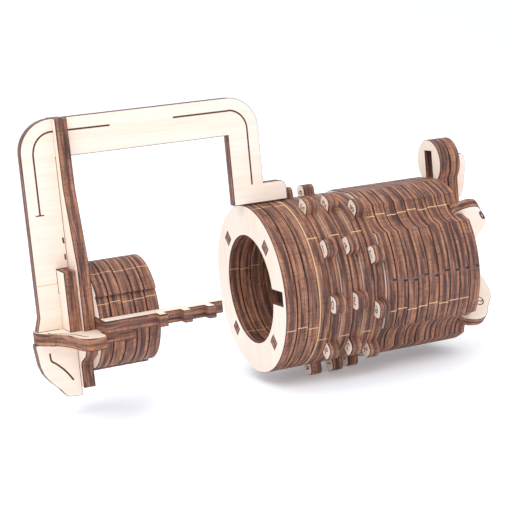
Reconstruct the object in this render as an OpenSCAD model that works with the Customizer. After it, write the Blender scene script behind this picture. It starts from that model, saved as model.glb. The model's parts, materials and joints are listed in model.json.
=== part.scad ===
// Combination padlock built from flat plywood plies, shackle pulled out.
// Millimetres, +Z up, +X along the barrel from its open mouth to its rear.
// The barrel is a stack of plies pinned by two crossed plates at the rear.
// Three dial rings turn on a fixed hub. The shackle slides along the barrel.
// Angles round the barrel are counted from -Y towards +Z.

/* [Plies] */
// Thickness of one sheet of the shackle
ply = 3; // [2:0.1:4]
// Thickness of one sheet of the barrel
barrel_ply = 3; // [2:0.1:4]
// Axial gap kept on each side of a turning dial
dial_gap = 0.05; // [0.02:0.01:0.3]

/* [Barrel] */
// Number of front rings
front_count = 3; // [2:1:4]
// Outer radius of the front rings
front_r = 21.5; // [20:0.1:24]
// Radius of the bore that takes the plug
bore_r = 13.8; // [12:0.1:15]
// Width of the keyway
keyway_w = 3.5; // [3.3:0.1:4.5]
// Radius that the keyway and the dial gates are cut out to
keyway_r = 19.8; // [19:0.1:20.4]
// Number of plies in the body behind the dials
body_count = 9; // [5:1:12]
// Radius of the body on its four broad ridges
ridge_r = 22.1; // [21.8:0.1:24]
// Depth of the valley on each diagonal
valley_depth = 1.9; // [0.6:0.1:2]
// Radius of the scoop that cuts each valley
valley_scoop_r = 8; // [6:0.5:14]
// Height over the axis of the flat that the foot slides along
foot_flat_z = 21.45; // [20:0.05:21.8]

/* [Hub and dials] */
// Number of dial rings
dial_count = 3; // [1:1:4]
// Outer radius of the fixed hub
hub_r = 18.5; // [18.4:0.1:19]
// Running clearance between the hub and a gate ring
hub_clearance = 0.08; // [0.03:0.01:0.1]
// Outer radius of a gate ring
gate_outer_r = 21.5; // [20.5:0.1:21.5]
// Radius of a digit ring between its lobes
digit_ring_r = 21.35; // [20.8:0.05:21.5]
// Radius at the tip of a lobe
lobe_tip_r = 24.3; // [23:0.1:26]
// Width of a lobe
lobe_w = 4.4; // [3:0.1:5]
// Corner radius of a lobe
lobe_corner_r = 1.5; // [0.5:0.1:2]
// Lobe places round a ring, one of them left empty
lobe_places = 10; // [6:1:12]
// Angle of the first lobe place of dial 1
dial_1_phase = 28.4; // [0:0.1:36]
// Angle of the first lobe place of dial 2
dial_2_phase = 28.4; // [0:0.1:36]
// Angle of the first lobe place of dial 3
dial_3_phase = 19.8; // [0:0.1:36]
// Empty lobe place of dial 1
dial_1_vacant = 4; // [0:1:9]
// Empty lobe place of dial 2
dial_2_vacant = 4; // [0:1:9]
// Empty lobe place of dial 3
dial_3_vacant = 2; // [0:1:9]

/* [Rear cross and ear] */
// Distance of a prong's centre from the axis
prong_r = 16.8; // [16.4:0.1:17]
// Width of a prong across the radius
prong_w = 2.6; // [2:0.1:2.8]
// Thickness of the two crossed plates
cross_t = 2.7; // [2:0.1:3]
// Distance from the rear of the ear to the rear of the cross
web_depth = 3.6; // [3:0.1:5]
// Radius of the disc at the lower end of the ear's neck
ear_disc_r = 9; // [7:0.5:15]
// Radius of the ear
ear_r = 6; // [5:0.1:8]
// Height of the ear's centre over the axis
ear_z = 25.6; // [24:0.1:28]
// Half width of the ear's neck
ear_neck = 4.2; // [3:0.1:6]
// Width of the ear's slot
ear_slot_w = 3.4; // [3.2:0.1:5]
// Lower end of the ear's slot
ear_slot_low = 21.5; // [20:0.1:21.8]
// Upper end of the ear's slot
ear_slot_high = 28.6; // [27:0.1:30]
// Length of the gusset behind the ear
gusset_l = 4.2; // [3:0.1:6]

/* [Shackle frame] */
// Length from the outer edge of one leg to the other
frame_l = 61; // [50:0.5:70]
// Height of the top of the bar over the axis
frame_top = 48.8; // [44:0.1:54]
// Height of the bar
bar_h = 9.3; // [7:0.1:12]
// Radius of the two outer corners
corner_r = 8; // [4:0.5:9]
// Width of the long leg
long_leg_w = 8.4; // [7:0.1:11]
// Width of the short leg
short_leg_w = 8.3; // [7:0.1:11]
// Distance from the long leg's outer edge to the end of the foot
foot_end = 67.2; // [66:0.1:69]
// Underside of the foot over the axis
foot_z = 21.8; // [21.8:0.1:23]
// Height of the foot
foot_h = 4.9; // [4:0.1:6]
// Corner radius at the end of the foot
foot_corner_r = 1.8; // [0.5:0.1:2.4]

/* [Plug and key] */
// Number of plies in the plug
plug_count = 5; // [3:1:6]
// Radius of the plug
plug_r = 13.4; // [12:0.1:13.6]
// Radius of the plug where it is relieved above the key
plug_relief_r = 12.6; // [12:0.1:13.4]
// Height where that relief starts
plug_relief_z = 6.6; // [3:0.1:10]
// Half width of the solid middle that the plates slot round
core_half = 5; // [3:0.5:7]
// Distance of the key's edge from the axis
key_edge = 16.7; // [15:0.1:17.5]
// Distance of the key's inner edge from the axis past the plug
key_inner = 11.6; // [10:0.1:13]
// Distance of a tooth's tip from the axis
tooth_tip = 19.4; // [18.9:0.1:19.5]
// Width of a tooth along the key
tooth_w = 2; // [1.5:0.1:2.4]
// Axial gap between a closed tooth and the gate ring behind it
tooth_gap = 0.6; // [0.3:0.1:0.9]
// Length of the key's narrow tip
key_tip_l = 3.4; // [2:0.1:5]

/* [Rib and wing] */
// Half width of the rib at the bar
rib_top = 4; // [3:0.1:6]
// Half width of the rib at the plug
rib_low = 9; // [6:0.1:11]
// Half width of the short plate beside the rib
short_plate_half = 7.5; // [5:0.1:9]
// Height of the top of the short plate
short_plate_top = 13; // [8:0.5:18]
// Half width of the wing plate
wing_half = 18.7; // [16:0.1:20]
// Half width of the two tongues that the wing sends along the plug
tongue_half = 12.9; // [11:0.1:13]
// Distance from the long leg's outer edge to the ends of the tongues
tongue_end = 20.4; // [14.4:3:23.4]

/* [Hidden] */
$fn = 96;
eps = 0.01;
front_l = front_count * barrel_ply;
dial_l = 2 * barrel_ply + 2 * dial_gap;
dials_end = front_l + dial_count * dial_l;
body_end = dials_end + body_count * barrel_ply;
ear_end = body_end + 2 * barrel_ply;
web_end = ear_end + web_depth;
prong_in = prong_r - prong_w / 2;
prong_out = prong_r + prong_w / 2;
prong_slack = 0.05;
petal_slack = 0.3;
rib_x = long_leg_w;
plug_x = rib_x + ply;
plug_end = plug_x + plug_count * ply;
closed_shift = -plug_x;
open_shift = front_l + dial_gap + barrel_ply - 0.2 - foot_end;
travel = closed_shift - open_shift;
nose_x = -1.85;
low_z = lobe_tip_r;
mid_x = (ear_end + gusset_l + open_shift + nose_x) / 2;
cheek = [0.93, 0.85, 0.70];
burnt = [0.45, 0.26, 0.16];

// Moves the barrel's frame to the stored frame: middle of the box, standing on z = 0.
module placed() {
  translate([-mid_x, 0, low_z])
    children();
}

// A flat shape drawn across the axis, from x on, t thick. Its first axis is Y, its second Z.
module across(x, t) {
  translate([x, 0, 0])
    rotate([90, 0, 90])
      linear_extrude(t)
        children();
}

// A flat shape drawn in X and Z, t thick, centred on y = 0.
module upright(t) {
  translate([0, t / 2, 0])
    rotate([90, 0, 0])
      linear_extrude(t)
        children();
}

// Turns a shape drawn along the first axis to an angle counted from -Y towards +Z.
module toward(a) {
  rotate(180 - a)
    children();
}

// The slot for the key, from the middle out to the keyway's radius.
module keyway_2d() {
  toward(0)
    translate([0, -keyway_w / 2])
      square([keyway_r, keyway_w]);
}

// The four square holes that the cross's prongs pass through.
module prong_holes_2d() {
  hole_w = cross_t + 2 * prong_slack;
  hole_l = prong_w + 2 * prong_slack;
  for (a = [45 : 90 : 315])
    toward(a)
      translate([prong_in - prong_slack, -hole_w / 2])
        square([hole_l, hole_w]);
}

// The four slots that the cross's petals sit in, open to the rim.
module petal_slots_2d() {
  slot_w = cross_t + 2 * petal_slack;
  for (a = [45 : 90 : 315])
    toward(a)
      translate([prong_in - prong_slack, -slot_w / 2])
        square([ridge_r, slot_w]);
}

module front_ring(i) {
  color(cheek)
    placed()
      across((i - 1) * barrel_ply, barrel_ply)
        difference() {
          circle(front_r);
          circle(bore_r);
          keyway_2d();
          prong_holes_2d();
        }
}

module hub_ring(i) {
  color(burnt)
    placed()
      across(front_l + (i - 1) * dial_l / 2, dial_l / 2)
        difference() {
          circle(hub_r);
          circle(bore_r);
          keyway_2d();
          prong_holes_2d();
        }
}

// The scoops that leave four broad ridges on the body.
module valleys_2d() {
  for (a = [45 : 90 : 315])
    toward(a)
      translate([ridge_r - valley_depth + valley_scoop_r, 0])
        circle(valley_scoop_r);
}

// What is cut off the top of the body to leave a flat for the foot.
module foot_flat_2d() {
  translate([-ridge_r, foot_flat_z])
    square([2 * ridge_r, ridge_r]);
}

// A body ply. The last one closes the bore and takes the petals.
module body_ply(i) {
  color(burnt)
    placed()
      across(dials_end + (i - 1) * barrel_ply, barrel_ply)
        difference() {
          circle(ridge_r);
          valleys_2d();
          foot_flat_2d();
          if (i < body_count)
            circle(bore_r);
          if (i == 1)
            keyway_2d();
          if (i == body_count)
            petal_slots_2d();
          else
            prong_holes_2d();
        }
}

// One of the two ear plies. Its disc seats between the body and the cross's web.
module ear_ply(i) {
  color(cheek)
    placed()
      across(body_end + (i - 1) * barrel_ply, barrel_ply)
        difference() {
          union() {
            circle(ear_disc_r);
            translate([-ear_neck, 0])
              square([2 * ear_neck, ear_z]);
            translate([0, ear_z])
              circle(ear_r);
          }
          translate([-ear_slot_w / 2, ear_slot_low])
            square([ear_slot_w, ear_slot_high - ear_slot_low]);
        }
}

module ear_gusset() {
  lean = gusset_l * 0.24;
  low = 15.5;
  high = 27;
  color(cheek)
    placed()
      upright(ply)
        polygon([
          [ear_end, low],
          [ear_end + gusset_l - 2 * lean, low],
          [ear_end + gusset_l - lean, low + 2],
          [ear_end + gusset_l, high - 4],
          [ear_end + gusset_l, high - 1],
          [ear_end + gusset_l - 1, high],
          [ear_end, high]]);
}

// A half outline in the first quadrant followed by its mirror image below the axis.
function both_sides(half) =
  concat(half, [for (i = [len(half) - 1 : -1 : 0]) [half[i].x, -half[i].y]]);

// Outline of a cross plate: prongs, petals and the web that joins them. X is the first axis.
module cross_2d() {
  petal_x = body_end - barrel_ply + 0.1;
  petal_inner = ear_disc_r + 0.4;
  polygon(both_sides([
    [ear_end, petal_inner],
    [body_end, petal_inner],
    [body_end, prong_in],
    [0, prong_in],
    [0, prong_out],
    [petal_x, prong_out],
    [petal_x, 20.1],
    [petal_x + 0.3, 20.7],
    [web_end - 11.6, 21.2],
    [web_end - 10, 21.9],
    [web_end - 8.2, 22.3],
    [web_end - 6.8, 22.3],
    [web_end - 5.4, 21.8],
    [web_end - 4.2, 20.6],
    [web_end - 3.2, 18.9],
    [web_end - 1.9, 17.3],
    [web_end - 0.8, 15.9],
    [web_end - 0.2, 14.2],
    [web_end, 12.6],
    [web_end - 0.1, 10.5],
    [web_end - 0.5, 8]]));
}

// A cross plate turned about the axis. The slot at its middle takes the other plate.
module cross_plate(turn, slot_from) {
  color(cheek)
    placed()
      rotate([turn, 0, 0])
        upright(cross_t)
          difference() {
            cross_2d();
            translate([slot_from, -cross_t / 2 - prong_slack])
              square([web_depth / 2, cross_t + 2 * prong_slack]);
          }
}

// The plain ring of a dial, with the gate that lets the key's teeth pass.
module gate_ring(i) {
  x = front_l + (i - 1) * dial_l + dial_gap;
  color(burnt)
    placed()
      across(x, barrel_ply)
        difference() {
          circle(gate_outer_r);
          circle(hub_r + hub_clearance);
          keyway_2d();
        }
}

// One lobe, drawn along the first axis.
module lobe_2d() {
  half = lobe_w / 2;
  root = keyway_r + 0.4;
  translate([root, -half])
    square([lobe_tip_r - lobe_corner_r - root, lobe_w]);
  translate([root, -half + lobe_corner_r])
    square([lobe_tip_r - root, lobe_w - 2 * lobe_corner_r]);
  for (side = [-1, 1])
    translate([lobe_tip_r - lobe_corner_r, side * (half - lobe_corner_r)])
      circle(lobe_corner_r);
}

// The lobed ring of a dial, with one lobe place left empty.
module digit_ring(i, phase, vacant) {
  x = front_l + (i - 1) * dial_l + dial_gap + barrel_ply;
  color(cheek)
    placed()
      across(x, barrel_ply)
        difference() {
          union() {
            circle(digit_ring_r);
            for (k = [0 : lobe_places - 1])
              if (k != vacant)
                toward(phase + k * 360 / lobe_places)
                  lobe_2d();
          }
          circle(keyway_r);
        }
}

// Moves the shackle's own frame, which starts at its long leg, to the open position.
module shackle_placed() {
  placed()
    translate([open_shift, 0, 0])
      children();
}

// The bar with its two rounded outer corners.
module bar_2d() {
  bar_low = frame_top - bar_h;
  translate([corner_r, bar_low])
    square([frame_l - 2 * corner_r, bar_h]);
  for (x = [corner_r, frame_l - corner_r])
    intersection() {
      translate([x, frame_top - corner_r])
        circle(corner_r);
      translate([0, frame_top - corner_r])
        square([frame_l, corner_r]);
    }
  translate([0, bar_low])
    square([frame_l, bar_h - corner_r]);
}

// The long leg and the curved nose at its lower end.
module long_leg_2d() {
  polygon([
    [0, frame_top - corner_r],
    [0, 1.9],
    [-0.9, -1.4],
    [nose_x + 0.1, -3.8],
    [nose_x, -5.2],
    [-1.64, -6.9],
    [-1.3, -9.8],
    [-0.6, -11.9],
    [0.3, -13.3],
    [1.3, -14.5],
    [3.1, -16.3],
    [3.7, -17.1],
    [4.3, -17.9],
    [5.2, -18.3],
    [long_leg_w, -18.5],
    [long_leg_w, frame_top - corner_r]]);
}

// The short leg and its foot.
module short_leg_2d() {
  leg_x = frame_l - short_leg_w;
  foot_top = foot_z + foot_h;
  translate([leg_x, foot_z])
    square([short_leg_w, frame_top - corner_r - foot_z]);
  translate([leg_x, foot_z])
    square([foot_end - foot_corner_r - leg_x, foot_h]);
  translate([leg_x, foot_z])
    square([foot_end - leg_x, foot_h - foot_corner_r]);
  translate([foot_end - foot_corner_r, foot_top - foot_corner_r])
    circle(foot_corner_r);
}

module shackle_frame() {
  short_slot = (short_plate_top - 1.5 * ply) / 2 + 1.5;
  color(cheek)
    shackle_placed()
      upright(ply)
        difference() {
          union() {
            bar_2d();
            long_leg_2d();
            short_leg_2d();
          }
          translate([nose_x - 1, -1.5 * ply])
            square([long_leg_w / 2 - nose_x + 1, ply]);
          translate([long_leg_w - ply, short_plate_top - short_slot])
            square([ply + 1, short_slot]);
        }
}

// Rib against the long leg's inner edge. Its fork straddles the bar.
module flange_rib() {
  color(burnt)
    shackle_placed()
      across(rib_x, ply)
        difference() {
          polygon([
            [-rib_top, frame_top],
            [rib_top, frame_top],
            [rib_top + 0.6, 32],
            [rib_low, 14],
            [rib_low, -6],
            [rib_low - 1.5, -8],
            [3.6, -10],
            [3, -11],
            [3, -16.5],
            [-3, -16.5],
            [-3, -11],
            [-3.6, -10],
            [-rib_low + 1.5, -8],
            [-rib_low, -6],
            [-rib_low, 14],
            [-rib_top - 0.6, 32]]);
          translate([-ply / 2, frame_top - bar_h])
            square([ply, bar_h + 1]);
          for (side = [-1, 1])
            translate([side * (core_half + rib_low) - rib_low, -1.5 * ply])
              square([2 * rib_low, ply]);
        }
}

// Short plate on the long leg, beside the rib, standing on the wing plate.
module short_plate() {
  low = -ply / 2;
  slot_h = (short_plate_top - 1.5 * ply) / 2 + 1.5;
  color(burnt)
    shackle_placed()
      across(rib_x - ply, ply)
        difference() {
          translate([-short_plate_half, low])
            square([2 * short_plate_half, short_plate_top - low]);
          translate([-ply / 2, low - 1])
            square([ply, short_plate_top - slot_h - low + 1]);
        }
}

// Outline of a plug ply: full radius on top and far side, relieved above the key.
module plug_2d() {
  circle(plug_relief_r);
  intersection() {
    circle(plug_r);
    union() {
      translate([-plug_r, plug_relief_z])
        square([2 * plug_r, plug_r]);
      translate([0, -plug_r])
        square([plug_r, 2 * plug_r]);
    }
  }
}

module plug_ply(i) {
  x = plug_x + (i - 1) * ply;
  color(burnt)
    shackle_placed()
      across(x, ply)
        difference() {
          plug_2d();
          translate([-plug_r - 1, -ply / 2])
            square([plug_r + 1 - core_half, ply]);
          if (x < tongue_end - 0.5)
            for (side = [-1, 1])
              translate([side * (core_half + plug_r) - plug_r, -1.5 * ply])
                square([2 * plug_r, ply]);
        }
}

// The toothed key, lying level at the plug's near side.
module key_blade() {
  first = plug_x + front_l + dial_l + dial_gap - tooth_gap - tooth_w;
  last_end = first + (dial_count - 1) * dial_l + tooth_w;
  color(cheek)
    shackle_placed()
      translate([0, 0, -ply / 2])
        linear_extrude(ply)
          union() {
            translate([plug_x, -key_edge])
              square([plug_end - plug_x, key_edge - core_half]);
            translate([plug_end - eps, -key_edge])
              square([last_end - plug_end + eps, key_edge - key_inner]);
            translate([last_end - eps, -key_edge + 1.6])
              square([key_tip_l + eps, key_edge - 1.6 - key_inner]);
            for (k = [0 : dial_count - 1])
              translate([first + k * dial_l, -tooth_tip])
                square([tooth_w, tooth_tip - key_edge + eps]);
          }
}

// The wing plate's outline, the same on both sides, with a tongue along each side of the plug.
module wing_2d() {
  shoulder = plug_x - 0.2;
  polygon(both_sides([
    [nose_x + 0.4, 1.2],
    [nose_x + 0.8, 2.6],
    [nose_x + 1.6, 3.8],
    [1.1, 5],
    [2.3, 6.3],
    [3.2, 7.9],
    [4.1, 10.2],
    [4.7, 12.6],
    [5.1, 14.8],
    [5.5, 16.4],
    [6.1, 17.6],
    [7, 18.4],
    [8.2, wing_half],
    [shoulder - 1.4, wing_half],
    [shoulder - 0.4, wing_half - 0.4],
    [shoulder, wing_half - 1.4],
    [shoulder, tongue_half],
    [tongue_end - 1.6, tongue_half],
    [tongue_end - 0.5, tongue_half - 0.5],
    [tongue_end, tongue_half - 1.6],
    [tongue_end, core_half],
    [rib_x, core_half]]));
}

// The level plate under the key. It slots into the long leg, the rib and the plug.
module wing_plate() {
  color(cheek)
    shackle_placed()
      translate([0, 0, -1.5 * ply])
        linear_extrude(ply)
          difference() {
            wing_2d();
            translate([long_leg_w / 2, -ply / 2])
              square([long_leg_w, ply]);
          }
}

front_ring(1);  // front_ring_1
front_ring(2);  // front_ring_2
front_ring(3);  // front_ring_3
hub_ring(1);  // hub_ring_1
hub_ring(2);  // hub_ring_2
hub_ring(3);  // hub_ring_3
hub_ring(4);  // hub_ring_4
hub_ring(5);  // hub_ring_5
hub_ring(6);  // hub_ring_6
body_ply(1);  // body_ply_1
body_ply(2);  // body_ply_2
body_ply(3);  // body_ply_3
body_ply(4);  // body_ply_4
body_ply(5);  // body_ply_5
body_ply(6);  // body_ply_6
body_ply(7);  // body_ply_7
body_ply(8);  // body_ply_8
body_ply(9);  // body_ply_9
ear_ply(1);  // ear_ply_front
ear_ply(2);  // ear_ply_rear
ear_gusset();
cross_plate(45, ear_end);  // cross_plate_a
cross_plate(-45, ear_end + web_depth / 2);  // cross_plate_b
gate_ring(1);  // gate_ring_1
digit_ring(1, dial_1_phase, dial_1_vacant);  // digit_ring_1
gate_ring(2);  // gate_ring_2
digit_ring(2, dial_2_phase, dial_2_vacant);  // digit_ring_2
gate_ring(3);  // gate_ring_3
digit_ring(3, dial_3_phase, dial_3_vacant);  // digit_ring_3
shackle_frame();
flange_rib();
short_plate();
plug_ply(1);  // plug_ply_1
plug_ply(2);  // plug_ply_2
plug_ply(3);  // plug_ply_3
plug_ply(4);  // plug_ply_4
plug_ply(5);  // plug_ply_5
key_blade();
wing_plate();
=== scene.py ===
import json
import math
import bpy
import bmesh
from mathutils import Matrix, Vector
from mathutils.geometry import tessellate_polygon


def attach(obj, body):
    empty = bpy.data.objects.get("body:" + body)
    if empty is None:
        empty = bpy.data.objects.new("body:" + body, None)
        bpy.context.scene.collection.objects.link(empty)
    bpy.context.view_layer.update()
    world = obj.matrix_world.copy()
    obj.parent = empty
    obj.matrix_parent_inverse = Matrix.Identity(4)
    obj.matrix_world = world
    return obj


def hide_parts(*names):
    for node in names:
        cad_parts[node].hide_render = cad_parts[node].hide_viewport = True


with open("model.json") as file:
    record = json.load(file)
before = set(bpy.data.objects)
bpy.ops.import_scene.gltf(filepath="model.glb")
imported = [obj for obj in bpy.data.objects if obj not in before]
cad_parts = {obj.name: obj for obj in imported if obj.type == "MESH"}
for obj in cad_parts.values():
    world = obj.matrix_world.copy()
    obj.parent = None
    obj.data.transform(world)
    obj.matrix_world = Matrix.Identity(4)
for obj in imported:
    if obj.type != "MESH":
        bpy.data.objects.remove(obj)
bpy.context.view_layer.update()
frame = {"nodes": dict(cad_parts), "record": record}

MM = 0.001
BARREL_PLY = 3.0   # one sheet of the barrel, mm
HALF_PLY = 1.5     # half of one sheet of the shackle, mm
HALF_CROSS = 1.35  # half of one crossed plate, mm
DIAL_STEP = 6.1    # from one dial to the next, mm
DIAL_GAP = 0.05    # gap in front of a dial, mm
MID_X = 3.65       # the barrel's own frame starts this far along, mm
AXIS_Z = 24.3      # height of the barrel's axis, mm
OPEN = -55.35      # the shackle's own frame, from the barrel's mouth, mm
SQ = math.sqrt(0.5)

BARREL = ["front_ring_%d" % i for i in range(1, 4)] + ["hub_ring_%d" % i for i in range(1, 7)]
BARREL += ["body_ply_%d" % i for i in range(1, 10)] + ["ear_ply_front", "ear_ply_rear"]
DIALS = ["gate_ring_%d" % i for i in range(1, 4)] + ["digit_ring_%d" % i for i in range(1, 4)]
PLUG = ["flange_rib", "short_plate"] + ["plug_ply_%d" % i for i in range(1, 6)]


# ---------------------------------------------------------------- small node helpers
class Tree:
    def __init__(self, name):
        self.mat = bpy.data.materials.new(name)
        self.mat.use_nodes = True
        self.t = self.mat.node_tree
        self.t.nodes.clear()

    def node(self, kind, **values):
        n = self.t.nodes.new(kind)
        for k, v in values.items():
            setattr(n, k, v)
        return n

    def link(self, value, socket):
        if isinstance(value, (int, float)):
            socket.default_value = value
        elif isinstance(value, (tuple, list)):
            socket.default_value = value
        else:
            self.t.links.new(value, socket)

    def math(self, op, a, b=0.0, c=0.0, clamp=False):
        n = self.node("ShaderNodeMath", operation=op, use_clamp=clamp)
        self.link(a, n.inputs[0])
        self.link(b, n.inputs[1])
        self.link(c, n.inputs[2])
        return n.outputs[0]

    def vmath(self, op, a, b=(0, 0, 0)):
        n = self.node("ShaderNodeVectorMath", operation=op)
        self.link(a, n.inputs[0])
        self.link(b, n.inputs[1])
        return n.outputs["Value"] if op in ("DOT_PRODUCT", "LENGTH") else n.outputs["Vector"]

    def combine(self, x, y, z):
        n = self.node("ShaderNodeCombineXYZ")
        for s, v in zip(n.inputs, (x, y, z)):
            self.link(v, s)
        return n.outputs[0]

    def noise(self, vector, scale, detail=3.0, rough=0.55, distortion=0.0):
        n = self.node("ShaderNodeTexNoise")
        self.link(vector, n.inputs["Vector"])
        n.inputs["Scale"].default_value = scale
        n.inputs["Detail"].default_value = detail
        n.inputs["Roughness"].default_value = rough
        n.inputs["Distortion"].default_value = distortion
        return n.outputs["Fac"]

    def white(self, value):
        n = self.node("ShaderNodeTexWhiteNoise", noise_dimensions="1D")
        self.link(value, n.inputs["W"])
        return n.outputs["Value"]

    def ramp(self, value, lo, hi, to_lo=0.0, to_hi=1.0):
        n = self.node("ShaderNodeMapRange", interpolation_type="SMOOTHSTEP")
        self.link(value, n.inputs["Value"])
        for s, v in zip(("From Min", "From Max", "To Min", "To Max"), (lo, hi, to_lo, to_hi)):
            self.link(v, n.inputs[s])
        return n.outputs["Result"]

    def mix(self, fac, a, b, blend="MIX"):
        n = self.node("ShaderNodeMix", data_type="RGBA", blend_type=blend)
        self.link(fac, n.inputs["Factor"])
        for s, v in ((n.inputs[6], a), (n.inputs[7], b)):
            self.link(v if not isinstance(v, tuple) else tuple(v) + (1.0,) * (4 - len(v)), s)
        return n.outputs[2]


def srgb(r, g, b):
    f = lambda c: (c / 255 / 12.92) if c / 255 <= 0.04045 else ((c / 255 + 0.055) / 1.055) ** 2.4
    return (f(r), f(g), f(b), 1.0)


BIRCH = srgb(249, 233, 220)
BIRCH_GRAIN = srgb(238, 213, 190)
BURNT = srgb(146, 100, 84)
BURNT_ORANGE = srgb(186, 124, 88)
BURNT_DARK = srgb(80, 56, 54)
GLUE_DARK = srgb(44, 28, 28)
TAB = srgb(236, 190, 144)
_made = {}


def plywood(name, axis, start, thick, along, tabs=(), pale_edge_and_highlight=0.0, band=False):
    """Laser-cut plywood. axis is the sheet's normal, start where the sheet begins along it in mm,
    along the way its face grain runs, tabs the angles round the barrel of the small unburnt marks."""
    key = (name, tuple(round(a, 4) for a in axis), round((start + 0.01) % thick, 1), thick,
           tuple(tabs), pale_edge_and_highlight, band)
    if key in _made:
        return _made[key]
    T = Tree("plywood_%s_%d" % (name, len(_made) + 1))
    co = T.node("ShaderNodeTexCoord")
    pos = T.vmath("SCALE", co.outputs["Object"])
    pos.node.inputs["Scale"].default_value = 1000.0
    nrm = co.outputs["Normal"]
    facing = T.math("ABSOLUTE", T.vmath("DOT_PRODUCT", nrm, tuple(axis)))
    face = T.ramp(facing, 0.8, 0.93)
    depth = T.math("DIVIDE", T.math("SUBTRACT", T.vmath("DOT_PRODUCT", pos, tuple(axis)), start), thick)
    depth = T.math("ADD", depth, 200.0001)
    sheet = T.math("FLOOR", depth)
    t = T.math("FRACT", depth)
    rnd = T.white(T.math("ADD", sheet, 0.37))
    rnd2 = T.white(T.math("ADD", sheet, 91.73))

    # faces: pale birch with fine, slightly wavy grain
    al = Vector(along).normalized()
    ax = Vector(axis).normalized()
    ac = ax.cross(al)
    u = T.vmath("DOT_PRODUCT", pos, tuple(al))
    v = T.vmath("DOT_PRODUCT", pos, tuple(ac))
    grain_at = T.combine(T.math("MULTIPLY", u, 0.045), v, T.math("MULTIPLY", sheet, 3.1))
    fine = T.noise(grain_at, 1.9, 5.0, 0.62, 0.25)
    broad = T.noise(grain_at, 0.32, 3.0, 0.5, 0.4)
    pores = T.noise(T.combine(T.math("MULTIPLY", u, 0.25), T.math("MULTIPLY", v, 6.0), sheet), 1.0, 2.0, 0.5)
    g = T.math("ADD", T.math("MULTIPLY", T.ramp(fine, 0.35, 0.72), 0.38),
               T.math("MULTIPLY", T.ramp(broad, 0.4, 0.75), 0.35), clamp=True)
    birch = T.mix(g, BIRCH, BIRCH_GRAIN)
    birch = T.mix(T.ramp(pores, 0.62, 0.8, 0.0, 0.16), birch, srgb(206, 170, 134))

    # edges: three burnt layers of uneven darkness, streaked by the laser; painted shade in the gaps between
    # sheets, painted glints on some edges
    mid = T.math("ABSOLUTE", T.math("SUBTRACT", t, 0.5))
    wob = T.math("MULTIPLY", T.math("SUBTRACT", T.noise(pos, 0.35, 2.0), 0.5), 0.10)
    core = T.ramp(T.math("ADD", mid, wob), 0.12, 0.2, 1.0, 0.0)
    streak_at = T.vmath("MULTIPLY", pos, tuple(1.0 - 0.82 * abs(a) for a in axis))
    streak = T.noise(streak_at, 2.1, 5.0, 0.7)
    run_at = T.vmath("MULTIPLY", pos, tuple(0.11 + 2.6 * abs(a) for a in axis))
    run = T.noise(T.vmath("ADD", run_at, (3.0, 8.0, 5.0)), 1.25, 4.0, 0.62)
    blotch = T.noise(pos, 0.22, 3.0, 0.6)
    warm = T.math("ADD", T.math("MULTIPLY", rnd, 0.4),
                  T.math("MULTIPLY", T.ramp(run, 0.42, 0.66), 0.7), clamp=True)
    edge = T.mix(warm, BURNT, BURNT_ORANGE)
    edge = T.mix(T.math("MULTIPLY", core, T.ramp(rnd2, 0.0, 1.0, 0.4, 0.85)), edge, BURNT_DARK)
    edge = T.mix(T.ramp(run, 0.56, 0.4, 0.0, 0.4), edge, srgb(104, 74, 70))
    lines_at = T.vmath("MULTIPLY", pos, tuple(0.085 + 1.15 * abs(a) for a in axis))
    lines = T.noise(T.vmath("ADD", lines_at, (11.0, 4.0, 7.0)), 1.0, 3.0, 0.6)
    edge = T.mix(T.ramp(lines, 0.53, 0.62, 0.0, 0.85), edge, srgb(66, 44, 42))
    edge = T.mix(T.ramp(lines, 0.47, 0.36, 0.0, 0.6), edge, srgb(196, 142, 110))
    edge = T.mix(T.ramp(streak, 0.45, 0.7, 0.0, 0.62), edge, BURNT_DARK)
    edge = T.mix(T.ramp(blotch, 0.5, 0.75, 0.0, 0.4), edge, srgb(100, 68, 62))
    edge = T.mix(T.ramp(streak, 0.36, 0.24, 0.0, 0.35), edge, srgb(206, 150, 112))
    line = T.ramp(T.math("ABSOLUTE", T.math("SUBTRACT", mid, 0.18)), 0.0, 0.035, 0.8, 0.0)
    edge = T.mix(T.math("MULTIPLY", line, T.ramp(blotch, 0.3, 0.6)), edge, GLUE_DARK)
    # painted shade: the outer rims of every sheet go near black, standing for shade in the gaps between
    # sheets
    gap_shade = T.ramp(mid, 0.40, 0.46, 0.0, 1.0)
    edge = T.mix(T.math("MULTIPLY", gap_shade, T.ramp(rnd2, 0.0, 1.0, 1.0, 0.75)), edge, srgb(30, 18, 20))
    # pale line along the front edge of a sheet: partly its pale face showing at the step, partly painted
    # highlight on that edge
    if pale_edge_and_highlight:
        first = T.ramp(t, 0.03, 0.10, pale_edge_and_highlight, 0.0)
        edge = T.mix(first, edge, srgb(240, 204, 160))
    else:
        # painted glints: pale-peach lines along the far edge of some sheets, standing for light caught on the
        # sheet edges
        glint_mask = T.math("MULTIPLY", T.ramp(t, 0.9, 0.97), T.ramp(rnd, 0.4, 0.75))
        glint_mask = T.math("MULTIPLY", glint_mask, T.ramp(blotch, 0.4, 0.6))
        edge = T.mix(T.math("MULTIPLY", glint_mask, 0.75), edge, srgb(224, 188, 160))

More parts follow.
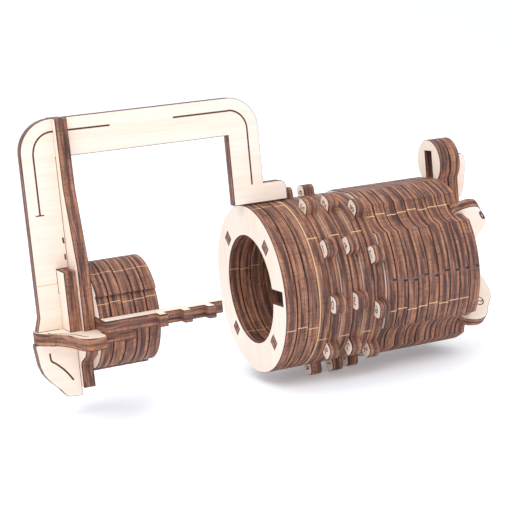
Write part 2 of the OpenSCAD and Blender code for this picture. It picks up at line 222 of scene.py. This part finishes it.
    # short pale marks where the parts were held in their sheet
    if tabs:
        z = T.math("SUBTRACT", T.vmath("DOT_PRODUCT", pos, (0, 0, 1)), AXIS_Z)
        y = T.math("MULTIPLY", T.vmath("DOT_PRODUCT", pos, (0, 1, 0)), -1.0)
        ang = T.math("MULTIPLY", T.math("ARCTAN2", z, y), 180 / math.pi)
        jit = T.math("MULTIPLY", T.math("SUBTRACT", T.white(T.math("ADD", sheet, 5.1)), 0.5), 2.2)
        wander = T.noise(T.combine(T.math("MULTIPLY", depth, 3.0), 0.0, 0.0), 1.0, 2.0)
        wave = T.math("MULTIPLY", T.math("SUBTRACT", wander, 0.5), 1.2)
        shown = T.math("GREATER_THAN", T.white(T.math("ADD", sheet, 44.4)), 0.08)
        total = None
        for a in tabs:
            d = T.math("ABSOLUTE", T.math("SUBTRACT", T.math("SUBTRACT", ang, a), T.math("ADD", jit, wave)))
            m = T.ramp(d, 0.2, 0.42, 1.0, 0.0)
            total = m if total is None else T.math("MAXIMUM", total, m)
        total = T.math("MULTIPLY", T.math("MULTIPLY", total, shown), T.ramp(mid, 0.42, 0.49, 1.0, 0.0))
        edge = T.mix(T.math("MULTIPLY", total, 0.9), edge, TAB)
        if band:
            off = T.math("MULTIPLY", T.math("SUBTRACT", rnd, 0.5), 1.8)
            at = T.math("SUBTRACT", T.math("SUBTRACT", ang, 0.6), off)
            d = T.math("ABSOLUTE", at)
            grey = T.ramp(d, 1.2, 1.7, 0.5, 0.0)
            edge = T.mix(grey, edge, srgb(122, 92, 86))
            turn_side = T.math("SUBTRACT", T.math("MULTIPLY", T.math("GREATER_THAN", rnd2, 0.5), 2.0), 1.0)
            near = T.ramp(T.math("ABSOLUTE", T.math("SUBTRACT", at, turn_side)), 0.5, 0.9, 1.0, 0.0)
            spot = T.math("MULTIPLY", near, T.ramp(t, 0.56, 0.64))
            edge = T.mix(T.math("MULTIPLY", spot, 0.9), edge, srgb(34, 20, 22))

    colour = T.mix(face, edge, birch)
    bsdf = T.node("ShaderNodeBsdfPrincipled")
    T.link(colour, bsdf.inputs["Base Color"])
    T.link(T.ramp(face, 0.0, 1.0, 0.62, 0.5), bsdf.inputs["Roughness"])
    bsdf.inputs["Specular IOR Level"].default_value = 0.32
    h_edge = T.math("ADD", T.math("MULTIPLY", streak, 0.10),
                    T.math("MULTIPLY", T.math("MULTIPLY", core, -1.0), 0.03))
    h_edge = T.math("SUBTRACT", h_edge, T.math("MULTIPLY", line, 0.03))
    h_face = T.math("MULTIPLY", fine, 0.018)
    hmix = T.node("ShaderNodeMix", data_type="FLOAT")
    T.link(face, hmix.inputs[0])
    T.link(h_edge, hmix.inputs[2])
    T.link(h_face, hmix.inputs[3])
    bump = T.node("ShaderNodeBump")
    bump.inputs["Strength"].default_value = 0.7
    bump.inputs["Distance"].default_value = MM
    T.link(hmix.outputs[0], bump.inputs["Height"])
    T.link(bump.outputs[0], bsdf.inputs["Normal"])
    out = T.node("ShaderNodeOutputMaterial")
    T.link(bsdf.outputs[0], out.inputs["Surface"])
    _made[key] = T.mat
    return T.mat


# ---------------------------------------------------------------- which sheet lies which way
def sheet_axis(node):
    if node in BARREL or node in DIALS or node in PLUG:
        return Vector((1, 0, 0))
    if node in ("key_blade", "wing_plate"):
        return Vector((0, 0, 1))
    if node == "cross_plate_a":
        return Vector((0, SQ, SQ))
    if node == "cross_plate_b":
        return Vector((0, SQ, -SQ))
    return Vector((0, 1, 0))


def cad_range(node, axis):
    s = [v.co.dot(axis) for v in frame["nodes"][node].data.vertices]
    return min(s), max(s)


TABS = {}
for n in ("front_ring_1", "front_ring_2", "front_ring_3"):
    TABS[n] = (76, -22, 166, -118)
for n in BARREL[9:18]:
    TABS[n] = (50, -20, 128, -158)
for n in DIALS[:3]:
    TABS[n] = (38, -34, -142, 110)
for i in range(1, 6):
    TABS["plug_ply_%d" % i] = (58, 22, 150, -80)


# ---------------------------------------------------------------- sheets with softened edges
def plane_axes(axis):
    b = Vector((0, 0, 1)) if abs(axis.z) < 0.9 else Vector((1, 0, 0))
    b = (b - axis * b.dot(axis)).normalized()
    return b, axis.cross(b)


def cap_loops(mesh, axis, level, sign):
    """Closed outlines of the flat face at that level, solid on the left seen from outside."""
    bm = bmesh.new()
    bm.from_mesh(mesh)
    bmesh.ops.remove_doubles(bm, verts=bm.verts, dist=2e-6)
    faces = set()
    for f in bm.faces:
        if f.normal.dot(axis) * sign > 0.99 and all(abs(v.co.dot(axis) - level) < 2e-5 for v in f.verts):
            faces.add(f)
    nxt = {}
    for f in faces:
        for lp in f.loops:
            if sum(1 for g in lp.edge.link_faces if g in faces) == 1:
                nxt.setdefault(lp.vert, []).append(lp.link_loop_next.vert)
    loops = []
    while nxt:
        start = next(iter(nxt))
        ring, v = [], start
        while v in nxt:
            ring.append(v.co.copy())
            outs = nxt[v]
            w = outs.pop()
            if not outs:
                del nxt[v]
            v = w
        if len(ring) > 2:
            loops.append(ring)
    bm.free()
    return loops


def tidy_loop(pts):
    """Drops points that lie on a straight run."""
    keep = []
    n = len(pts)
    for i in range(n):
        a, b, c = pts[i - 1], pts[i], pts[(i + 1) % n]
        if (b - a).length < 1e-6:
            continue
        if (b - a).normalized().dot((c - b).normalized()) < 0.999999:
            keep.append(b)
    return keep if len(keep) > 2 else pts


def inset(pts, amount):
    """Moves each point into the solid, which is on the left of the outline."""
    out = []
    n = len(pts)
    for i in range(n):
        a, b, c = pts[i - 1], pts[i], pts[(i + 1) % n]
        e1, e2 = (b - a).normalized(), (c - b).normalized()
        n1, n2 = Vector((-e1.y, e1.x)), Vector((-e2.y, e2.x))
        m = n1 + n2
        k = m.dot(m) / 2
        out.append(b + m * (amount / k if k > 0.35 else amount / 0.35))
    return out


def soft_sheet(name, axis, chamfer=0.14 * MM):
    """The CAD sheet again, with its laser-cut edges softened by a small chamfer."""
    mesh = frame["nodes"][name].data
    lo, hi = cad_range(name, axis)
    b, c = plane_axes(axis)
    loops = [tidy_loop([Vector((p.dot(b), p.dot(c))) for p in ring]) for ring in cap_loops(mesh, axis, hi, 1)]
    bm = bmesh.new()
    levels = ((lo, 1), (lo + chamfer, 0), (hi - chamfer, 0), (hi, 1))
    caps = {0: [], 3: []}
    for pts in loops:
        small = inset(pts, chamfer)
        rows = []
        for k, (t, cut) in enumerate(levels):
            src = small if cut else pts
            row = [bm.verts.new(b * q.x + c * q.y + axis * t) for q in src]
            rows.append(row)
            if k in caps:
                caps[k].append((row, src))
        n = len(pts)
        for r0, r1 in zip(rows, rows[1:]):
            for i in range(n):
                j = (i + 1) % n
                f = bm.faces.new((r0[i], r0[j], r1[j], r1[i]))
                f.smooth = True
    for k, up in ((0, False), (3, True)):
        verts = [v for row, _ in caps[k] for v in row]
        tris = tessellate_polygon([[Vector((q.x, q.y, 0)) for q in src] for _, src in caps[k]])
        for tri in tris:
            p = [verts[i] for i in tri]
            nrm = (p[1].co - p[0].co).cross(p[2].co - p[0].co).dot(axis)
            if (nrm > 0) != up:
                p.reverse()
            try:
                bm.faces.new(p)
            except ValueError:
                pass
    me = bpy.data.meshes.new("sheet_" + name)
    bm.to_mesh(me)
    bm.free()
    me.set_sharp_from_angle(angle=math.radians(28))
    o = bpy.data.objects.new("sheet_" + name, me)
    bpy.context.scene.collection.objects.link(o)
    return o


BODY_OF = {}
for body, members in frame["record"]["behaviour"]["bodies"].items():
    for member in members:
        BODY_OF[member] = body

for name, obj in frame["nodes"].items():
    axis = sheet_axis(name)
    lo, hi = cad_range(name, axis)
    along = (0, 0, 1) if axis.x else (1, 0, 0)
    # strength of the pale front edge line, partly painted highlight, on each gate ring
    gate_edge_and_highlight = 0.95 if name == "gate_ring_1" else (0.45 if name.startswith("gate") else 0.0)
    mat = plywood("sheet", axis, lo / MM, round((hi - lo) / MM, 1), along, TABS.get(name, ()), gate_edge_and_highlight,
                  name.startswith("body_ply"))
    piece = soft_sheet(name, axis)
    piece.data.materials.append(mat)
    obj.data.materials.clear()
    obj.data.materials.append(mat)
    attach(piece, BODY_OF[name])
    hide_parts(name)


# ---------------------------------------------------------------- engraved lines and digits
def engraving_material(name="engraved_line", r=58, g=34, b=24):
    T = Tree(name)
    co = T.node("ShaderNodeTexCoord")
    pos = T.vmath("SCALE", co.outputs["Object"])
    pos.node.inputs["Scale"].default_value = 1000.0
    n = T.noise(pos, 2.2, 3.0)
    shader = T.node("ShaderNodeBsdfPrincipled")
    T.link(T.mix(n, srgb(r, g, b), srgb(r + 60, g + 42, b + 26)), shader.inputs["Base Color"])
    shader.inputs["Roughness"].default_value = 0.8
    shader.inputs["Specular IOR Level"].default_value = 0.2
    T.link(shader.outputs[0], T.node("ShaderNodeOutputMaterial").inputs["Surface"])
    return T.mat


ENGRAVED = engraving_material()


def ribbons(name, body, strokes, lift=0.02 * MM, mat=None):
    """Flat burnt lines. Each stroke is (points, width, outward normal), in metres."""
    bm = bmesh.new()
    for pts, width, nrm in strokes:
        nrm = Vector(nrm)
        pts = [Vector(p) for p in pts]
        n = len(pts)
        left, right_ = [], []
        for i, p in enumerate(pts):
            d1 = (p - pts[i - 1]).normalized() if i else (pts[1] - p).normalized()
            d2 = (pts[i + 1] - p).normalized() if i < n - 1 else d1
            side = nrm.cross((d1 + d2).normalized()).normalized()
            stretch = 1.0 / max(0.5, side.dot(nrm.cross(d1).normalized()))
            off = side * (width / 2 * stretch)
            left.append(bm.verts.new(p + off + nrm * lift))
            right_.append(bm.verts.new(p - off + nrm * lift))
        for i in range(n - 1):
            f = bm.faces.new((right_[i], right_[i + 1], left[i + 1], left[i]))
            f.normal_update()
            if f.normal.dot(nrm) < 0:
                f.normal_flip()
    me = bpy.data.meshes.new(name)
    bm.to_mesh(me)
    bm.free()
    me.materials.append(mat or ENGRAVED)
    o = bpy.data.objects.new(name, me)
    bpy.context.scene.collection.objects.link(o)
    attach(o, body)
    return o


def arc(cx, cy, r, a0, a1, n=10):
    return [(cx + r * math.cos(math.radians(a0 + (a1 - a0) * k / n)),
             cy + r * math.sin(math.radians(a0 + (a1 - a0) * k / n))) for k in range(n + 1)]


def smooth(pts, per=6):
    """A Catmull-Rom curve through the points."""
    out = []
    n = len(pts)
    for i in range(n - 1):
        p0, p1 = Vector(pts[max(0, i - 1)]), Vector(pts[i])
        p2, p3 = Vector(pts[i + 1]), Vector(pts[min(n - 1, i + 2)])
        for k in range(per):
            t = k / per
            out.append(tuple(0.5 * ((2 * p1) + (p2 - p0) * t + (2 * p0 - 5 * p1 + 4 * p2 - p3) * t * t
                                    + (3 * p1 - p0 - 3 * p2 + p3) * t ** 3)))
    out.append(tuple(pts[-1]))
    return out


def shackle_point(x, z, y):
    return ((x + OPEN - MID_X) * MM, y * MM, (z + AXIS_Z) * MM)


TOP = 48.8  # top of the bar over the axis, mm
both = []
line_w = 0.42 * MM
left_line = ([(3.0, 26.3), (3.0, TOP - 8)] + arc(8, TOP - 8, 4.9, 180, 90)[1:] + [(22.5, TOP - 3.2)])
right_line = [(38.7, TOP - 3.2), (53, TOP - 3.2)] + arc(53, TOP - 8, 4.9, 90, 0)[1:] + [(57.9, 26.6)]
nose_line = smooth([(1.4, -6.9), (1.6, -8.8), (2.7, -9.7), (4.5, -11.5), (5.7, -13.1), (6.5, -14.4)])
for side in (-1, 1):
    nrm = (0, side, 0)
    for path, w in ((left_line, line_w), (right_line, line_w), (nose_line, 0.45 * MM),
                    ([(1.9, 26.3), (4.0, 26.3)], 0.3 * MM),
                    ([(7.85, 20.4), (7.95, 19.0)], 0.45 * MM), ([(7.9, 16.4), (7.95, 15.0)], 0.4 * MM)):
        both.append(([shackle_point(x, z, side * HALF_PLY) for x, z in path], w, nrm))
ribbons("engraved_frame", "shackle", both)
faint = []
for side in (-1, 1):
    across_leg = [shackle_point(x, 9.6, side * HALF_PLY) for x in (0.2, 8.2)]
    faint.append((across_leg, 0.16 * MM, (0, side, 0)))
ribbons("faint_line", "shackle", faint,
        mat=engraving_material("faint_line", 190, 150, 112))

wing_line = smooth([(1.0, -3.4), (1.3, -5.0), (3.1, -6.6), (4.9, -9.2), (5.9, -11.6), (6.6, -14.2),
                    (7.4, -15.6)])
strokes = []
for side in (-1, 1):
    for zed, nz in ((-1.5, 1), (-4.5, -1)):
        strokes.append(([shackle_point(x, zed, -side * y) for x, y in wing_line], 0.35 * MM, (0, 0, nz)))
ribbons("engraved_wing", "shackle", strokes)

DIGITS = {
    0: [[(-.5, -.6), (-.5, .6), (-.2, 1), (.2, 1), (.5, .6), (.5, -.6), (.2, -1), (-.2, -1), (-.5, -.6)]],
    1: [[(-.35, .6), (0.1, 1), (0.1, -1)]],
    2: [[(-.5, .6), (-.2, 1), (.3, 1), (.5, .6), (.4, .2), (-.5, -1), (.55, -1)]],
    3: [[(-.5, .8), (0, 1), (.45, .7), (.4, .3), (-.05, .1), (.45, -.2), (.5, -.7), (0, -1), (-.5, -.8)]],
    4: [[(.3, -1), (.3, 1), (-.5, -.35), (.55, -.35)]],
    5: [[(.5, 1), (-.4, 1), (-.45, .1), (.2, .2), (.5, -.2), (.45, -.7), (0, -1), (-.5, -.8)]],
    6: [[(.4, .9), (0, 1), (-.45, .4), (-.5, -.5), (0, -1), (.5, -.6), (.3, 0), (-.45, -.2)]],
    7: [[(-.5, 1), (.5, 1), (-.1, -1)]],
    8: [[(0, .1), (-.4, .4), (-.3, .9), (.3, .9), (.4, .4), (0, .1),
         (-.5, -.4), (-.3, -1), (.3, -1), (.5, -.4), (0, .1)]],
    9: [[(.45, .2), (-.3, 0), (-.5, .6), (0, 1), (.45, .6), (.45, -.3), (0, -1), (-.35, -.9)]],
}


def ring_point(x, radius, deg, up=0.0):
    """A point on the barrel: radius and angle, then up along the turning direction."""
    a = math.radians(deg)
    radial = Vector((0, -math.cos(a), math.sin(a)))
    turn = Vector((0, math.sin(a), math.cos(a)))
    return Vector(((x - MID_X) * MM, 0, AXIS_Z * MM)) + (radial * radius + turn * up) * MM


PHASES = (28.4, 28.4, 19.8)
VACANT = (4, 4, 2)
for i in range(3):
    strokes = []
    x = 4 * BARREL_PLY + DIAL_STEP * i + DIAL_GAP
    for k in range(10):
        if k == VACANT[i]:
            continue
        a = PHASES[i] + 36 * k
        for path in DIGITS[(k + 3 * i + 1) % 10]:
            pts = [ring_point(x, 22.35 - 1.5 * px * 0.62, a, 0.95 * py) for px, py in path]
            strokes.append((pts, 0.27 * MM, (-1, 0, 0)))
    ribbons("digits_%d" % (i + 1), "dial_%d" % (i + 1), strokes)

# marks on the two near petals, drawn in each plate's own plane
def petal_point(x, r, lower):
    out = Vector((0, -SQ, -SQ if lower else SQ))
    face = Vector((0, -SQ, SQ if lower else -SQ))
    return Vector(((x - MID_X) * MM, 0, AXIS_Z * MM)) + (out * r + face * HALF_CROSS) * MM


low_face, up_face = (0, -SQ, SQ), (0, -SQ, -SQ)
ring = [petal_point(58.9 + 1.25 * math.cos(a * math.pi / 12), 16.7 + 1.25 * math.sin(a * math.pi / 12), True)
        for a in range(26)]
wave = smooth([(57.75, 17.0), (58.3, 16.5), (58.9, 16.7), (59.5, 17.0), (60.1, 16.6)])
lens = [petal_point(61.2 + 2.1 * math.cos(a) * 0.6 + 0.28 * math.sin(a) * 0.8,
                    17.75 - 2.1 * math.cos(a) * 0.8 + 0.28 * math.sin(a) * 0.6, False)
        for a in (k * math.pi / 8 for k in range(17))]
ribbons("engraved_petals", "barrel",
        [(ring, 0.28 * MM, low_face), ([petal_point(x, r, True) for x, r in wave], 0.28 * MM, low_face),
         (lens, 0.42 * MM, up_face)])


# ---------------------------------------------------------------- stage, light, camera
def stage_floor():
    bm = bmesh.new()
    reach, bend_from, bend_r = 3.0, 0.9, 0.6  # metres
    prof = [(-reach, 0.0), (bend_from, 0.0)]
    for k in range(1, 13):
        a = math.pi / 2 * k / 12
        prof.append((bend_from + bend_r * math.sin(a), bend_r * (1 - math.cos(a))))
    prof.append((bend_from + bend_r, reach))
    rows = [[bm.verts.new((x, y, z)) for y, z in prof] for x in (-reach, reach)]
    for a, b in zip(range(len(prof) - 1), range(1, len(prof))):
        bm.faces.new((rows[0][a], rows[1][a], rows[1][b], rows[0][b]))
    me = bpy.data.meshes.new("floor")
    bm.to_mesh(me)
    bm.free()
    for p in me.polygons:
        p.use_smooth = True
    o = bpy.data.objects.new("floor", me)
    bpy.context.scene.collection.objects.link(o)
    T = Tree("floor_white")
    b = T.node("ShaderNodeBsdfPrincipled")
    # pale blue base: the lit floor still clips to white, so the blue shows only in its shadows as painted
    # blue shade tint
    b.inputs["Base Color"].default_value = (0.90, 0.935, 1.0, 1)
    b.inputs["Emission Color"].default_value = (1, 1, 1, 1)
    b.inputs["Emission Strength"].default_value = 0.19
    b.inputs["Roughness"].default_value = 0.6
    b.inputs["Specular IOR Level"].default_value = 0.2
    T.link(b.outputs[0], T.node("ShaderNodeOutputMaterial").inputs["Surface"])
    me.materials.append(T.mat)


stage_floor()


def area_light(name, at, to, size, power, colour=(1, 1, 1)):
    d = bpy.data.lights.new(name, "AREA")
    d.shape = "DISK"
    d.size = size
    d.energy = power
    d.color = colour
    o = bpy.data.objects.new(name, d)
    o.location = at
    o.rotation_euler = (Vector(to) - Vector(at)).to_track_quat("-Z", "Y").to_euler()
    bpy.context.scene.collection.objects.link(o)


area_light("key", (-0.55, -0.55, 0.85), (0, 0, 0.02), 0.7, 5.2, (1.0, 0.985, 0.96))
area_light("fill", (0.75, -0.75, 0.55), (0, 0, 0.02), 0.9, 1.8, (0.95, 0.97, 1.0))
area_light("top", (0.0, 0.25, 1.0), (0, 0, 0.02), 1.0, 3.4)
w = bpy.data.worlds.new("studio")
w.use_nodes = True
w.node_tree.nodes["Background"].inputs[0].default_value = (0.95, 0.975, 1.0, 1)
w.node_tree.nodes["Background"].inputs[1].default_value = 0.72
bpy.context.scene.world = w
bpy.context.scene.view_settings.view_transform = "Standard"
bpy.context.scene.view_settings.look = "None"

# the camera, in the barrel's own frame: which way it looks, how it is rolled and where it stands
CAMERA_TURN, CAMERA_DOWN, CAMERA_ROLL = 22.685, 9.195, -5.431  # degrees
CAMERA_AT = (-139.664, -339.823, 67.820)  # mm
SENSOR, LENS = 36.0, 103.47890625  # mm
az, el, roll = (math.radians(a) for a in (CAMERA_TURN, CAMERA_DOWN, CAMERA_ROLL))
d = Vector((math.sin(az) * math.cos(el), math.cos(az) * math.cos(el), -math.sin(el)))
r0 = d.cross(Vector((0, 0, 1))).normalized()
u0 = r0.cross(d)
right = r0 * math.cos(roll) + u0 * math.sin(roll)
up = u0 * math.cos(roll) - r0 * math.sin(roll)
cam = bpy.data.cameras.new("camera")
cam.sensor_width = SENSOR
cam.lens = LENS
cam_o = bpy.data.objects.new("camera", cam)
m = Matrix((right, up, -d)).transposed().to_4x4()
m.translation = Vector((CAMERA_AT[0] - MID_X, CAMERA_AT[1], CAMERA_AT[2] + AXIS_Z)) * MM
cam_o.matrix_world = m
cam.clip_start = 0.01
bpy.context.scene.collection.objects.link(cam_o)
bpy.context.scene.camera = cam_o
